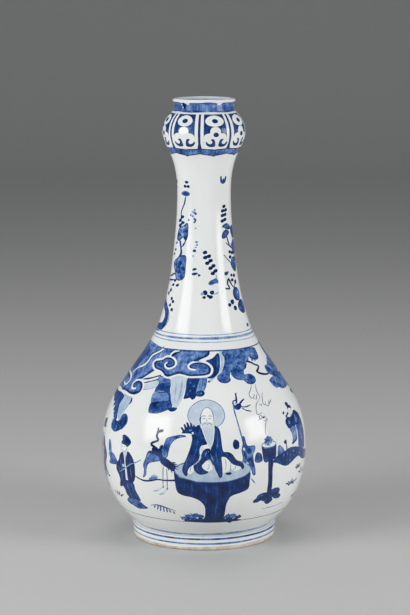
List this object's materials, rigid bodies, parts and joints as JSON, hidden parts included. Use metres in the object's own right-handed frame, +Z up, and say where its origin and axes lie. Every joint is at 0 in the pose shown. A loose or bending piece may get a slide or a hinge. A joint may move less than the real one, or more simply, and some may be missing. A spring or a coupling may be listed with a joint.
{
  "type": "garlic head vase",
  "caption": "Tall blue-and-white porcelain bottle vase: round belly on a foot ring, long tapering neck, swelling garlic-shaped bulb below an upright mouth with a rolled lip.",
  "frame": {"origin": "centre of the foot ring's resting plane", "axes": "+Z up along the vase's axis, -Y towards the front of the painted scene, +X to its right"},
  "size_m": [0.224, 0.224, 0.48],
  "materials": {
    "glazed_porcelain": "glossy clear glaze over white porcelain with cobalt-blue painting under the glaze",
    "luting_slip": "fired porcelain slip in the seams between the thrown sections"
  },
  "bodies": {
    "root": {"foot_ring": "glazed_porcelain", "foot_slip": "luting_slip", "lower_body": "glazed_porcelain", "belly_slip": "luting_slip", "upper_body": "glazed_porcelain", "shoulder_slip": "luting_slip", "neck": "glazed_porcelain", "bulb_slip": "luting_slip", "garlic_bulb": "glazed_porcelain", "collar_slip": "luting_slip", "mouth_collar": "glazed_porcelain"}
  },
  "joints": []
}
